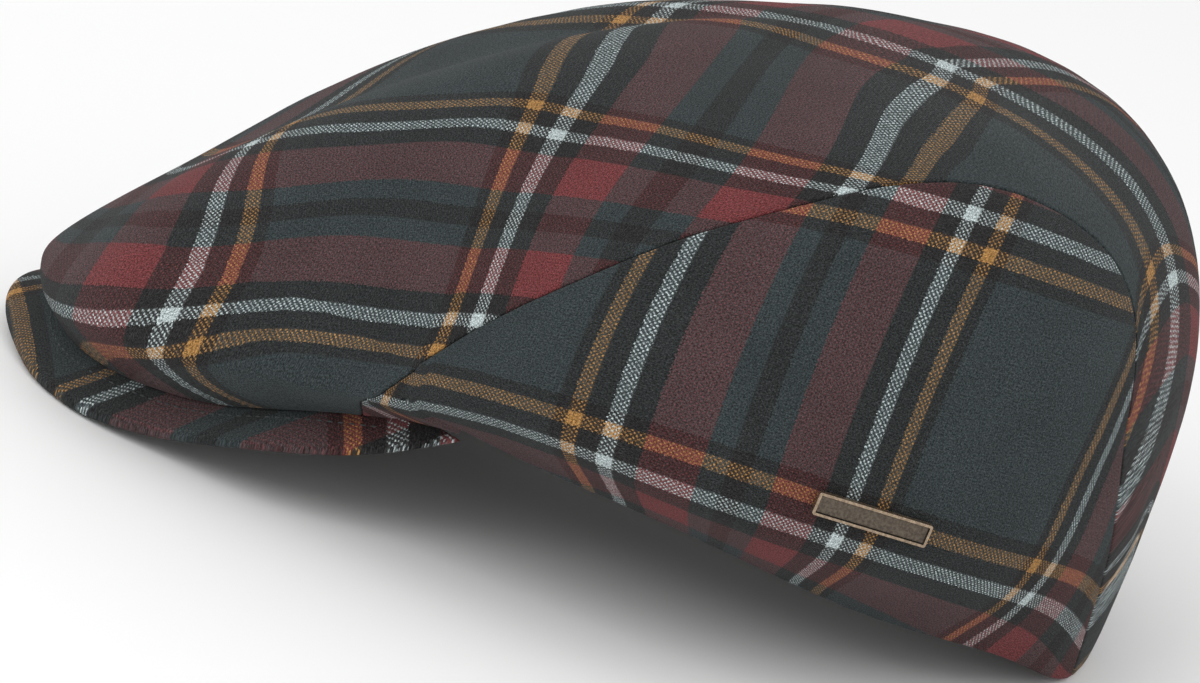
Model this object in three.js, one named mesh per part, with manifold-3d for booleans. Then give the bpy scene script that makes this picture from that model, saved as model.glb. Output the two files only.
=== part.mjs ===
// A flat cap lying on a table: a soft crown sewn from a long top panel and two side panels,
// a stiff curved visor under its front, and a small metal badge on the wearer's left side.
// Millimetres, +Z up, visor towards -Y, wearer's left towards +X, standing on z = 0.

import * as THREE from "three";
import { mergeVertices } from "three/addons/utils/BufferGeometryUtils.js";
import Module from "manifold-3d";

const wasm = await Module();
wasm.setup();

// Driving dimensions of the crown
const crownLength = 262;
const crownWidth = 203;
const crownHeight = 126.5;
const clothWall = 2;

// Driving dimensions of the head opening and the rim round it
const headLength = 200;
const headWidth = 158;
const headAhead = 12;
const rimRise = 33;

// Driving dimensions of the visor
const visorDepth = 68.7;
const visorShow = 12;
const visorWall = 3.5;
const visorTipWall = 1.2;

// Driving dimensions of the badge, whose border stands above a bare field
const badgeLength = 27;
const badgeWidth = 5.3;
const badgeThick = 1.6;
const badgeBorder = 0.8;
const badgeRecess = 0.5;
const badgeCorner = 0.6;

// Clearance along the seams and under the badge, and between the crown and the visor below it
const clearance = 0.3;
const visorClearance = 0.6;

// The crown's profiles round the apex, one row for each bearing, in degrees from the back (0) over
// the side (90) to the front (180). widest: reach of the widest line, as a share of the half length
// and half width. girth: its height, as a share of the way from the rim to the apex. shoulder, rise,
// tuck and lip: how far the profile's handles pull it full above and below the widest line.
const crownRows = [
  { bearing: 0, widest: 0.703, girth: 0.45, shoulder: 0.7, rise: 0.62, tuck: 0.42, lip: 0.62 },
  { bearing: 35, widest: 0.803, girth: 0.357, shoulder: 0.8, rise: 0.71, tuck: 0.48, lip: 0.51 },
  { bearing: 65, widest: 0.929, girth: 0.281, shoulder: 0.81, rise: 0.83, tuck: 0.53, lip: 0.38 },
  { bearing: 90, widest: 1, girth: 0.194, shoulder: 0.7, rise: 0.67, tuck: 0.4, lip: 0.34 },
  { bearing: 110, widest: 0.98, girth: 0.16, shoulder: 0.567, rise: 0.564, tuck: 0.3, lip: 0.345 },
  { bearing: 119, widest: 0.981, girth: 0.088, shoulder: 0.532, rise: 0.537, tuck: 0.3, lip: 0.37 },
  { bearing: 128, widest: 1.015, girth: 0.065, shoulder: 0.493, rise: 0.518, tuck: 0.32, lip: 0.39 },
  { bearing: 150, widest: 1.235, girth: 0.105, shoulder: 0.377, rise: 0.423, tuck: 0.26, lip: 0.355 },
  { bearing: 165, widest: 1.294, girth: 0.076, shoulder: 0.413, rise: 0.211, tuck: 0.208, lip: 0.323 },
  { bearing: 180, widest: 1.328, girth: 0.047, shoulder: 0.377, rise: 0.053, tuck: 0.182, lip: 0.324 },
];

// Height of the rim along the head opening, as a share of rimRise. The back lies flat.
const rimRows = [
  { bearing: 0, height: 0 },
  { bearing: 12, height: 0 },
  { bearing: 35, height: 0.278 },
  { bearing: 65, height: 0.565 },
  { bearing: 90, height: 0.84 },
  { bearing: 119, height: 0.965 },
];

// The visor from its corner on the rim to its middle. depth: how far the edge lies ahead of the head
// opening, as a share of visorDepth. show: the strip that the crown leaves bare, as a share of
// visorShow. height: the edge's underside, as a share of rimRise. The lobes at bearing 154 lie flat.
const visorRows = [
  { bearing: 119, depth: 0, show: 0, height: 0.87 },
  { bearing: 126, depth: 0.185, show: 0.74, height: 0.6 },
  { bearing: 134, depth: 0.404, show: 1.12, height: 0.39 },
  { bearing: 143, depth: 0.505, show: 0.865, height: 0.165 },
  { bearing: 154, depth: 0.729, show: 0.97, height: -0.01 },
  { bearing: 167, depth: 0.902, show: 0.855, height: 0.045 },
  { bearing: 180, depth: 1, show: 1.36, height: 0.13 },
];
const visorRootHeight = 0.87;

// The seam between top and side panel, from the visor over the side to the back of the rim:
// bearing, and height up the crown's profile as a share of its length from rim to apex.
const seamRows = [
  { bearing: 130, up: 0 },
  { bearing: 117.2, up: 0.21 },
  { bearing: 106, up: 0.365 },
  { bearing: 95.4, up: 0.5 },
  { bearing: 83.6, up: 0.6 },
  { bearing: 74, up: 0.654 },
  { bearing: 62, up: 0.681 },
  { bearing: 48.5, up: 0.663 },
  { bearing: 34.5, up: 0.575 },
  { bearing: 33.5, up: 0.42 },
  { bearing: 30.5, up: 0.26 },
  { bearing: 10, up: 0 },
];

// Where the badge sits on the left side panel, and its turn from level, in degrees
const badgeBearing = 70;
const badgeUp = 0.2125;
const badgeTurn = -7.6;

// How finely the cloth is faceted
const seamSteps = 36;
const topSteps = 26;
const sideSteps = 14;
const visorSteps = 60;
const visorRings = 8;

const halfLength = crownLength / 2;
const halfWidth = crownWidth / 2;
const openingFront = headAhead + headLength / 2;
const crownBack = crownRows[0].widest * halfLength;
const apexY = (openingFront + visorDepth - crownBack) / 2;
const cornerBearing = visorRows[0].bearing;
const radians = THREE.MathUtils.degToRad;

// A smooth curve through a table's values. The slopes at the rows make its bend continuous. An end
// is level, where the cap's mirror line passes, or free.
function smooth(at, values, { freeStart = false, freeEnd = false } = {}) {
  const last = at.length - 1;
  const step = at.map((x, i) => at[i + 1] - x);
  const rise = values.map((y, i) => (values[i + 1] - y) / step[i]);
  const slope = at.map(() => 0);
  if (freeStart) slope[0] = rise[0];
  if (freeEnd) slope[last] = rise[last - 1];
  const sweeps = 60;
  for (let sweep = 0; sweep < sweeps; sweep++) {
    for (let i = 1; i < last; i++) {
      const target = 3 * (step[i] * rise[i - 1] + step[i - 1] * rise[i]);
      const pull = step[i] * slope[i - 1] + step[i - 1] * slope[i + 1];
      slope[i] = (target - pull) / (2 * (step[i - 1] + step[i]));
    }
  }
  return (x) => {
    let i = 0;
    while (i < last - 1 && x > at[i + 1]) i++;
    const t = (x - at[i]) / step[i];
    const bend0 = step[i] * slope[i] - step[i] * rise[i];
    const bend1 = step[i] * rise[i] - step[i] * slope[i + 1];
    const along = values[i] + t * step[i] * rise[i];
    return along + t * (1 - t) * ((1 - t) * bend0 + t * bend1);
  };
}

function column(rows, name, ends) {
  return smooth(rows.map((row) => row.bearing), rows.map((row) => row[name]), ends);
}

const profile = {};
for (const name of ["widest", "girth", "shoulder", "rise", "tuck", "lip"]) {
  profile[name] = column(crownRows, name);
}
const rimHeight = column(rimRows, "height", { freeEnd: true });
const edgeDepth = column(visorRows, "depth", { freeStart: true });
const stripShow = column(visorRows, "show", { freeStart: true });
const edgeHeight = column(visorRows, "height", { freeStart: true });

// Bearings run both ways from the back, so a bearing past the front is mirrored.
function mirrored(bearing) {
  const turn = Math.abs(bearing) % 360;
  return turn > 180 ? 360 - turn : turn;
}

// Reach of the head opening from the apex's axis, as a share of the half length and half width
function openingReach(bearing) {
  const across = (halfWidth * Math.sin(radians(bearing))) / (headWidth / 2);
  const along = (halfLength * Math.cos(radians(bearing))) / (headLength / 2);
  const shift = headAhead / (headLength / 2);
  const a = across * across + along * along;
  const b = along * shift;
  return (Math.sqrt(b * b - a * (shift * shift - 1)) - b) / a;
}

function visorEdgeReach(bearing) {
  return openingReach(bearing) + (edgeDepth(bearing) * visorDepth) / halfLength;
}

// How far round from the corner (0) to the middle of the visor (1)
function towardsMiddle(bearing) {
  return Math.sin((radians(90) * (bearing - cornerBearing)) / (180 - cornerBearing));
}

function visorThickness(bearing) {
  return THREE.MathUtils.lerp(visorTipWall, visorWall, Math.sqrt(towardsMiddle(bearing)));
}

// Underside of the visor at a share of the way from the head opening (0) to its edge (1)
function visorUnderside(bearing, out) {
  const cornerHeight = visorRows[0].height;
  const root = THREE.MathUtils.lerp(cornerHeight, visorRootHeight, towardsMiddle(bearing));
  const share = THREE.MathUtils.lerp(root, edgeHeight(bearing), out);
  return Math.max(0, rimRise * share);
}

// Top of the visor below a point of the crown, given by bearing and reach
function visorTop(bearing, reach) {
  const root = openingReach(bearing);
  const width = Math.max(visorEdgeReach(bearing) - root, clearance / halfLength);
  const out = (reach - root) / width;
  return visorUnderside(bearing, out) + visorThickness(bearing);
}

// Reach and height of the crown's lower edge: the rim round the head, then the line on the visor.
function lowerEdge(bearing) {
  if (bearing <= cornerBearing) {
    return { reach: openingReach(bearing), height: Math.max(0, rimRise * rimHeight(bearing)) };
  }
  const bare = (stripShow(bearing) * visorShow) / halfLength;
  const reach = visorEdgeReach(bearing) - bare;
  return { reach, height: visorTop(bearing, reach) + visorClearance };
}

function bezier(p0, p1, p2, p3, t) {
  const u = 1 - t;
  return u * u * u * p0 + 3 * u * u * t * p1 + 3 * u * t * t * p2 + t * t * t * p3;
}

// A point of the crown's outer face: bearing, and height up the profile from rim (0) to apex (1).
// The profile bulges from the lower edge to the widest line, and then arches over to the apex.
function crownPoint(bearing, up) {
  const at = mirrored(bearing);
  const { reach: reach0, height: height0 } = lowerEdge(at);
  const reach1 = profile.widest(at);
  const height1 = THREE.MathUtils.lerp(height0, crownHeight, profile.girth(at));
  const bulge = reach1 - reach0;
  const climb = height1 - height0;
  const arch = crownHeight - height1;
  const lower = Math.hypot(bulge * halfLength, climb);
  const upper = Math.hypot(reach1 * halfLength, arch);
  const turn = lower / (lower + upper);
  let reach;
  let height;
  if (up < turn) {
    const t = up / turn;
    const lip = profile.lip(at);
    reach = bezier(reach0, reach0 + lip * bulge, reach1, reach1, t);
    const lipHeight = height0 + ((1 - lip) * climb) / 2;
    height = bezier(height0, lipHeight, height1 - profile.tuck(at) * climb, height1, t);
  } else {
    const t = (up - turn) / (1 - turn);
    reach = bezier(reach1, reach1, profile.shoulder(at) * reach1, 0, t);
    height = bezier(height1, height1 + profile.rise(at) * arch, crownHeight, crownHeight, t);
  }
  const x = halfWidth * reach * Math.sin(radians(bearing));
  const y = apexY + halfLength * reach * Math.cos(radians(bearing));
  return new THREE.Vector3(x, y, height);
}

// The crown seen as a flat disc: its centre is the apex and its circle the lower edge.
function onDisc(bearing, up) {
  const angle = radians(bearing);
  return new THREE.Vector2((1 - up) * Math.sin(angle), (1 - up) * Math.cos(angle));
}

function fromDisc(place) {
  const bearing = THREE.MathUtils.radToDeg(Math.atan2(place.x, place.y));
  return { bearing, up: 1 - place.length() };
}

function outerPoint(place) {
  const { bearing, up } = fromDisc(place);
  return crownPoint(bearing, up);
}

function outwardAt(place) {
  const probe = 0.002;
  const right = new THREE.Vector2(probe, 0);
  const back = new THREE.Vector2(0, probe);
  const across = outerPoint(place.clone().add(right)).sub(outerPoint(place.clone().sub(right)));
  const along = outerPoint(place.clone().add(back)).sub(outerPoint(place.clone().sub(back)));
  return across.cross(along).normalize();
}

// The wall's inner face. Its lower edge is level with the outer one, or follows the visor's top.
function innerPoint(place) {
  const { bearing, up } = fromDisc(place);
  const outer = outerPoint(place);
  const outward = outwardAt(place);
  const onEdge = up < 1e-6;
  if (!onEdge) return outer.addScaledVector(outward, -clothWall);
  outward.setZ(0).normalize();
  const inner = outer.clone().addScaledVector(outward, -clothWall);
  const at = mirrored(bearing);
  if (at > cornerBearing) {
    const reach = Math.hypot(inner.x / halfWidth, (inner.y - apexY) / halfLength);
    inner.z = Math.max(outer.z, visorTop(at, reach) + visorClearance);
  }
  return inner;
}

// A closed wall between two grids of points, its facets mirrored about the middle column. Where a
// grid narrows to one point, as at a side panel's tips, the triangles without area are left out.
function closedWall(outer, inner) {
  const corners = [];
  const triangle = (a, b, c) => {
    const touching = 1e-5;
    if (a.distanceTo(b) < touching || b.distanceTo(c) < touching || c.distanceTo(a) < touching) return;
    corners.push(a, b, c);
  };
  const quad = (a, b, c, d) => {
    triangle(a, b, c);
    triangle(a, c, d);
  };
  const rows = outer.length - 1;
  const columns = outer[0].length - 1;
  for (let i = 0; i < rows; i++) {
    for (let j = 0; j < columns; j++) {
      if (j < columns / 2) {
        quad(outer[i][j], outer[i + 1][j], outer[i + 1][j + 1], outer[i][j + 1]);
        quad(inner[i][j], inner[i][j + 1], inner[i + 1][j + 1], inner[i + 1][j]);
      } else {
        quad(outer[i + 1][j], outer[i + 1][j + 1], outer[i][j + 1], outer[i][j]);
        quad(inner[i][j + 1], inner[i + 1][j + 1], inner[i + 1][j], inner[i][j]);
      }
    }
  }
  for (let i = 0; i < rows; i++) {
    quad(outer[i + 1][0], outer[i][0], inner[i][0], inner[i + 1][0]);
    quad(outer[i + 1][columns], inner[i + 1][columns], inner[i][columns], outer[i][columns]);
  }
  for (let j = 0; j < columns; j++) {
    quad(outer[0][j + 1], inner[0][j + 1], inner[0][j], outer[0][j]);
    quad(outer[rows][j], inner[rows][j], inner[rows][j + 1], outer[rows][j + 1]);
  }
  const shell = new THREE.BufferGeometry().setFromPoints(corners);
  return mergeVertices(shell, 1e-4);
}

// The seam on the disc, stepped evenly along its real length, so that both panels share its points.
function seamPlaces() {
  const index = seamRows.map((row, i) => i);
  const last = index.length - 1;
  const through = (name) => {
    const values = seamRows.map((row) => row[name]);
    return smooth(index, values, { freeStart: true, freeEnd: true });
  };
  const bearing = through("bearing");
  const up = through("up");
  const fine = 600;
  const places = [];
  const length = [0];
  for (let k = 0; k <= fine; k++) {
    const at = (last * k) / fine;
    places.push(onDisc(bearing(at), Math.max(0, up(at))));
    if (k > 0) {
      length.push(length[k - 1] + outerPoint(places[k]).distanceTo(outerPoint(places[k - 1])));
    }
  }
  const even = [places[0]];
  for (let k = 1, next = 0; k < seamSteps; k++) {
    while (length[next] < (length[fine] * k) / seamSteps) next++;
    even.push(places[next]);
  }
  even.push(places[fine]);
  return even;
}

// The seam moved half the clearance off its line, towards the apex (+1) or the rim (-1)
function seamBeside(side) {
  const probe = 0.002;
  return seam.map((place, k) => {
    const ahead = seam[Math.min(k + 1, seam.length - 1)];
    const behind = seam[Math.max(k - 1, 0)];
    const along = ahead.clone().sub(behind).normalize();
    const aside = new THREE.Vector2(-along.y, along.x).multiplyScalar(side);
    const beside = outerPoint(place.clone().addScaledVector(aside, probe));
    const span = beside.distanceTo(outerPoint(place)) / probe;
    const moved = place.clone().addScaledVector(aside, clearance / 2 / span);
    return moved.length() > 1 ? moved.normalize() : moved;
  });
}

const seam = seamPlaces();

function wallOn(places) {
  const outer = places.map((row) => row.map(outerPoint));
  const inner = places.map((row) => row.map(innerPoint));
  return closedWall(outer, inner);
}

// The top panel is stretched between the two seams, the line on the visor and the back of the rim.
function topPanelGeometry() {
  const left = seamBeside(1);
  const right = left.map((place) => new THREE.Vector2(-place.x, place.y));
  const arc = (place, share) => {
    const half = Math.atan2(place.x, Math.abs(place.y));
    const angle = half * (1 - 2 * share);
    return new THREE.Vector2(Math.sin(angle), Math.sign(place.y) * Math.cos(angle));
  };
  left[0].normalize();
  right[0].normalize();
  left[seamSteps].normalize();
  right[seamSteps].normalize();
  const places = left.map((start, k) => {
    const along = k / seamSteps;
    const row = [];
    for (let j = 0; j <= topSteps; j++) {
      const share = j / topSteps;
      const place = start.clone().lerp(right[k], share);
      const frontPull = arc(left[0], share).sub(left[0].clone().lerp(right[0], share));
      const backPull = arc(left[seamSteps], share);
      backPull.sub(left[seamSteps].clone().lerp(right[seamSteps], share));
      place.addScaledVector(frontPull, 1 - along).addScaledVector(backPull, along);
      row.push(place);
    }
    return row;
  });
  return wallOn(places);
}

// A side panel fills the lens between the seam and the rim, and comes to a point at both ends.
function sidePanelGeometry() {
  const upper = seamBeside(-1);
  upper[0].normalize();
  upper[seamSteps].normalize();
  const first = fromDisc(upper[0]).bearing;
  const final = fromDisc(upper[seamSteps]).bearing;
  const places = upper.map((top, k) => {
    const bearing = THREE.MathUtils.lerp(first, final, k / seamSteps);
    const foot = onDisc(bearing, 0);
    const row = [];
    for (let j = 0; j <= sideSteps; j++) {
      row.push(foot.clone().lerp(top, j / sideSteps));
    }
    return row;
  });
  return wallOn(places);
}

// A point of the visor: bearing, share of the way out from the head opening, and face (0 or 1)
function visorPoint(bearing, out, face) {
  const at = mirrored(bearing);
  const reach = THREE.MathUtils.lerp(openingReach(at), visorEdgeReach(at), out);
  const x = halfWidth * reach * Math.sin(radians(bearing));
  const y = apexY + halfLength * reach * Math.cos(radians(bearing));
  return new THREE.Vector3(x, y, visorUnderside(at, out) + face * visorThickness(at));
}

function visorGeometry() {
  const grid = (face) => {
    const rows = [];
    for (let i = 0; i <= visorSteps; i++) {
      const bearing = THREE.MathUtils.lerp(cornerBearing, 360 - cornerBearing, i / visorSteps);
      const row = [];
      for (let j = 0; j <= visorRings; j++) row.push(visorPoint(bearing, j / visorRings, face));
      rows.push(row);
    }
    return rows;
  };
  return closedWall(grid(1), grid(0));
}

function mirrorAcross(geometry) {
  const twin = geometry.clone().scale(-1, 1, 1);
  const order = twin.index.array;
  for (let k = 0; k < order.length; k += 3) {
    [order[k], order[k + 1]] = [order[k + 1], order[k]];
  }
  return twin;
}

function plate(length, width, corner, depth) {
  const outline = new THREE.Shape();
  const x = length / 2 - corner;
  const y = width / 2 - corner;
  outline.absarc(x, y, corner, 0, Math.PI / 2);
  outline.absarc(-x, y, corner, Math.PI / 2, Math.PI);
  outline.absarc(-x, -y, corner, Math.PI, 1.5 * Math.PI);
  outline.absarc(x, -y, corner, 1.5 * Math.PI, 2 * Math.PI);
  const options = { depth, bevelEnabled: false, curveSegments: 4 };
  const block = new THREE.ExtrudeGeometry(outline, options);
  block.deleteAttribute("normal");
  block.deleteAttribute("uv");
  const merged = mergeVertices(block, 1e-4);
  return new wasm.Manifold(new wasm.Mesh({
    numProp: 3,
    vertProperties: new Float32Array(merged.attributes.position.array),
    triVerts: new Uint32Array(merged.index.array),
  }));
}

// The badge lies in its own XY plane with its back at z = 0.
function badgeGeometry() {
  const inset = 2 * badgeBorder;
  const corner = Math.max(badgeCorner - badgeBorder, badgeCorner / 4);
  const field = plate(badgeLength - inset, badgeWidth - inset, corner, badgeThick);
  const block = plate(badgeLength, badgeWidth, badgeCorner, badgeThick);
  const mesh = block.subtract(field.translate(0, 0, badgeThick - badgeRecess)).getMesh();
  const geometry = new THREE.BufferGeometry();
  geometry.setAttribute("position", new THREE.BufferAttribute(mesh.vertProperties, 3));
  geometry.setIndex(new THREE.BufferAttribute(mesh.triVerts, 1));
  return geometry;
}

function piece(name, geometry, colour, roughness, metalness) {
  const material = new THREE.MeshStandardMaterial({ color: colour, roughness, metalness });
  const mesh = new THREE.Mesh(geometry, material);
  mesh.name = name;
  return mesh;
}

const cap = new THREE.Group();

const topPanel = piece("top_panel", topPanelGeometry(), 0x3b3538, 0.95, 0);
cap.add(topPanel);

const sideGeometry = sidePanelGeometry();
const sidePanelLeft = piece("side_panel_left", sideGeometry, 0x32424a, 0.95, 0);
const sidePanelRight = piece("side_panel_right", mirrorAcross(sideGeometry), 0x32424a, 0.95, 0);
cap.add(sidePanelLeft, sidePanelRight);

const visor = piece("visor", visorGeometry(), 0x2f3436, 0.95, 0);
cap.add(visor);

// The badge stands on the left side panel, square to the cloth, with its long side turned from level.
const badge = piece("badge", badgeGeometry(), 0x8a7355, 0.4, 1);
const badgePlace = onDisc(badgeBearing, badgeUp);
const outward = outwardAt(badgePlace);
const level = new THREE.Vector3(0, 0, 1).cross(outward).normalize();
const along = level.applyAxisAngle(outward, radians(badgeTurn));
const across = outward.clone().cross(along);
badge.quaternion.setFromRotationMatrix(new THREE.Matrix4().makeBasis(along, across, outward));
badge.position.copy(outerPoint(badgePlace)).addScaledVector(outward, clearance);
cap.add(badge);

export default cap;
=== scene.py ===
"""A soft duckbill flat cap in tartan wool, lying on the back of its rim and its visor."""

import math

import bmesh
import bpy
import numpy as np
from mathutils import Matrix


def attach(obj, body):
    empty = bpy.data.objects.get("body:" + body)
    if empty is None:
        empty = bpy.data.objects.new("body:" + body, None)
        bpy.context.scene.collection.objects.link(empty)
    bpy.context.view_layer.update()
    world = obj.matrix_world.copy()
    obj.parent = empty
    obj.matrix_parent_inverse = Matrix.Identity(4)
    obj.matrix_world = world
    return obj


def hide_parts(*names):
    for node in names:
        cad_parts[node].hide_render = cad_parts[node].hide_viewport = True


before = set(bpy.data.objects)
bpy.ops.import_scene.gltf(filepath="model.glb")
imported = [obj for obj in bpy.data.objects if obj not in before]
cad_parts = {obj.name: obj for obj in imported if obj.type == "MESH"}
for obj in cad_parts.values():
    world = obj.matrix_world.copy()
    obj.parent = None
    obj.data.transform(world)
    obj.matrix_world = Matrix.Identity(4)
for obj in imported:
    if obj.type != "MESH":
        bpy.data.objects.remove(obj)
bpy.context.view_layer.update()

# The top panel is one long piece of wool twill. It runs from the visor over the top and down
# the back to the rim, and is steamed over a block, so its weave is pulled out of straight.
# Lengths are in millimetres, bearings in degrees, and the tables' other values shares of lengths.
MM = 0.001
UV_PER_MM = 0.01
MM_PER_UV = 1 / UV_PER_MM
CROWN_LENGTH = 262.0
CROWN_WIDTH = 203.0
CROWN_HEIGHT = 126.5
HEAD_LENGTH = 200.0
HEAD_WIDTH = 158.0
HEAD_AHEAD = 12.0
RIM_RISE = 33.0
VISOR_DEPTH = 68.7
VISOR_SHOW = 12.0
VISOR_WALL = 3.5
VISOR_TIP_WALL = 1.2
VISOR_CORNER = 119.0
VISOR_CLEARANCE = 0.6
VISOR_LEAST = 0.3
CLOTH_WALL = 2.0
FRONT = 180.0

# The crown's outer surface is spread over a disc, whose rim is approached but not reached.
DISC_RIM = 0.99999
OUTWARD_STEP = 0.002

# One row for each bearing from the back (0) over the side (90) to the front (180). The values of
# these tables were fitted to traced outlines, and rounded.
CROWN_ROWS = np.array([
    # bearing, widest, girth, shoulder, rise, tuck, lip
    (0, 0.703, 0.45, 0.7, 0.62, 0.42, 0.62),
    (35, 0.803, 0.357, 0.8, 0.71, 0.48, 0.51),
    (65, 0.929, 0.281, 0.81, 0.83, 0.53, 0.38),
    (90, 1.0, 0.194, 0.7, 0.67, 0.4, 0.34),
    (110, 0.98, 0.16, 0.567, 0.564, 0.3, 0.345),
    (119, 0.981, 0.088, 0.532, 0.537, 0.3, 0.37),
    (128, 1.015, 0.065, 0.493, 0.518, 0.32, 0.39),
    (150, 1.235, 0.105, 0.377, 0.423, 0.26, 0.355),
    (165, 1.294, 0.076, 0.413, 0.211, 0.208, 0.323),
    (180, 1.328, 0.047, 0.377, 0.053, 0.182, 0.324),
])
RIM_ROWS = np.array([
    # bearing, height
    (0, 0),
    (12, 0),
    (35, 0.278),
    (65, 0.565),
    (90, 0.84),
    (119, 0.965),
])
VISOR_ROWS = np.array([
    # bearing, depth, strip that shows, height of the outer edge
    (119, 0, 0, 0.87),
    (126, 0.185, 0.74, 0.6),
    (134, 0.404, 1.12, 0.39),
    (143, 0.505, 0.865, 0.165),
    (154, 0.729, 0.97, -0.01),
    (167, 0.902, 0.855, 0.045),
    (180, 1.0, 1.36, 0.13),
])
VISOR_ROOT = 0.87
SEAM_ROWS = np.array([
    # bearing, share of the way from the rim up to the top
    (130, 0),
    (117.2, 0.21),
    (106, 0.365),
    (95.4, 0.5),
    (83.6, 0.6),
    (74, 0.654),
    (62, 0.681),
    (48.5, 0.663),
    (34.5, 0.575),
    (33.5, 0.42),
    (30.5, 0.26),
    (10, 0),
])


def smooth(at, values, free_start=False, free_end=False):
    """A smooth curve through the values, level at an end that isn't free."""
    at = np.asarray(at, float)
    values = np.asarray(values, float)
    last = len(at) - 1
    step = np.diff(at)
    rise = np.diff(values) / step
    slope = np.zeros(last + 1)
    if free_start:
        slope[0] = rise[0]
    if free_end:
        slope[last] = rise[-1]
    for _ in range(60):
        for i in range(1, last):
            pull = step[i] * rise[i - 1] + step[i - 1] * rise[i]
            near = step[i] * slope[i - 1] + step[i - 1] * slope[i + 1]
            slope[i] = (3 * pull - near) / (2 * (step[i - 1] + step[i]))

    def curve(x):
        x = np.asarray(x, float)
        i = np.clip(np.searchsorted(at, x) - 1, 0, last - 1)
        t = (x - at[i]) / step[i]
        start = step[i] * (slope[i] - rise[i])
        end = step[i] * (rise[i] - slope[i + 1])
        return values[i] + t * step[i] * rise[i] + t * (1 - t) * ((1 - t) * start + t * end)

    return curve


HALF_LENGTH = CROWN_LENGTH / 2
HALF_WIDTH = CROWN_WIDTH / 2
WIDEST, GIRTH, SHOULDER, RISE, TUCK, LIP = [
    smooth(CROWN_ROWS[:, 0], CROWN_ROWS[:, k]) for k in range(1, 7)
]
rim_height = smooth(RIM_ROWS[:, 0], RIM_ROWS[:, 1], free_end=True)
visor_depth = smooth(VISOR_ROWS[:, 0], VISOR_ROWS[:, 1], free_start=True)
visor_show = smooth(VISOR_ROWS[:, 0], VISOR_ROWS[:, 2], free_start=True)
visor_edge_height = smooth(VISOR_ROWS[:, 0], VISOR_ROWS[:, 3], free_start=True)
APEX_Y = (HEAD_AHEAD + HEAD_LENGTH / 2 + VISOR_DEPTH - CROWN_ROWS[0, 1] * HALF_LENGTH) / 2


def opening_reach(bearing):
    """How far out the head opening is from the apex's axis."""
    b = np.radians(bearing)
    across = HALF_WIDTH * np.sin(b) / (HEAD_WIDTH / 2)
    along = HALF_LENGTH * np.cos(b) / (HEAD_LENGTH / 2)
    shift = HEAD_AHEAD / (HEAD_LENGTH / 2)
    square = across * across + along * along
    return (np.sqrt((along * shift) ** 2 - square * (shift * shift - 1)) - along * shift) / square


def visor_edge_reach(bearing):
    depth = visor_depth(np.clip(bearing, VISOR_CORNER, FRONT)) * VISOR_DEPTH
    return opening_reach(bearing) + depth / HALF_LENGTH


def towards_middle(bearing):
    """0 at the visor's corner, 1 at its middle."""
    return np.sin(np.pi / 2 * np.clip((bearing - VISOR_CORNER) / (FRONT - VISOR_CORNER), 0, 1))


def visor_thickness(bearing):
    """Full at the visor's middle, thin at its corners."""
    return VISOR_TIP_WALL + (VISOR_WALL - VISOR_TIP_WALL) * np.sqrt(towards_middle(bearing))


def visor_underside(bearing, out):
    """Height of the visor's underside, from its root (out 0) to its outer edge (out 1)."""
    corner = VISOR_ROWS[0, 3]
    root = corner + (VISOR_ROOT - corner) * towards_middle(bearing)
    edge = visor_edge_height(np.clip(bearing, VISOR_CORNER, FRONT))
    return np.maximum(0, RIM_RISE * (root + (edge - root) * out))


def lower_edge(bearing):
    """Reach and height of the crown's lower edge: the rim, or the line where it lies on the visor."""
    rim = np.maximum(0, RIM_RISE * rim_height(np.clip(bearing, 0, VISOR_CORNER)))
    start = opening_reach(bearing)
    end = visor_edge_reach(bearing)
    shown = visor_show(np.clip(bearing, VISOR_CORNER, FRONT)) * VISOR_SHOW / HALF_LENGTH
    width = np.maximum(end - start, VISOR_LEAST / HALF_LENGTH)
    seat = end - shown
    top = visor_underside(bearing, (seat - start) / width) + visor_thickness(bearing)
    front = bearing > VISOR_CORNER
    return np.where(front, seat, start), np.where(front, top + VISOR_CLEARANCE, rim)


def bezier(a, b, c, d, t):
    s = 1 - t
    return s**3 * a + 3 * s * s * t * b + 3 * s * t * t * c + t**3 * d


def crown_point(place):
    """The crown's outer surface over a disc, with the apex at the disc's centre."""
    bearing = np.degrees(np.arctan2(place[..., 0], place[..., 1]))
    up = 1 - np.hypot(place[..., 0], place[..., 1])
    side = np.abs(bearing)
    reach, height = lower_edge(side)
    widest = WIDEST(side)
    girth = height + (CROWN_HEIGHT - height) * GIRTH(side)
    bulge = widest - reach
    climb = girth - height
    arch = CROWN_HEIGHT - girth
    lower = np.hypot(bulge * HALF_LENGTH, climb)
    turn = lower / (lower + np.hypot(widest * HALF_LENGTH, arch))
    t = up / turn
    lip = LIP(side)
    low_reach = bezier(reach, reach + lip * bulge, widest, widest, t)
    low_height = bezier(height, height + (1 - lip) * climb / 2, girth - TUCK(side) * climb, girth, t)
    t = (up - turn) / (1 - turn)
    high_reach = bezier(widest, widest, SHOULDER(side) * widest, 0, t)
    high_height = bezier(girth, girth + RISE(side) * arch, CROWN_HEIGHT, CROWN_HEIGHT, t)
    out = np.where(up < turn, low_reach, high_reach)
    z = np.where(up < turn, low_height, high_height)
    b = np.radians(bearing)
    return np.stack([HALF_WIDTH * out * np.sin(b), APEX_Y + HALF_LENGTH * out * np.cos(b), z], -1)


def crown_outward(place):
    """Direction that points straight out of the crown."""
    step = OUTWARD_STEP
    across = crown_point(place + [step, 0]) - crown_point(place - [step, 0])
    along = crown_point(place + [0, step]) - crown_point(place - [0, step])
    normal = np.cross(across, along)
    return normal / np.linalg.norm(normal, axis=-1, keepdims=True)


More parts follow.
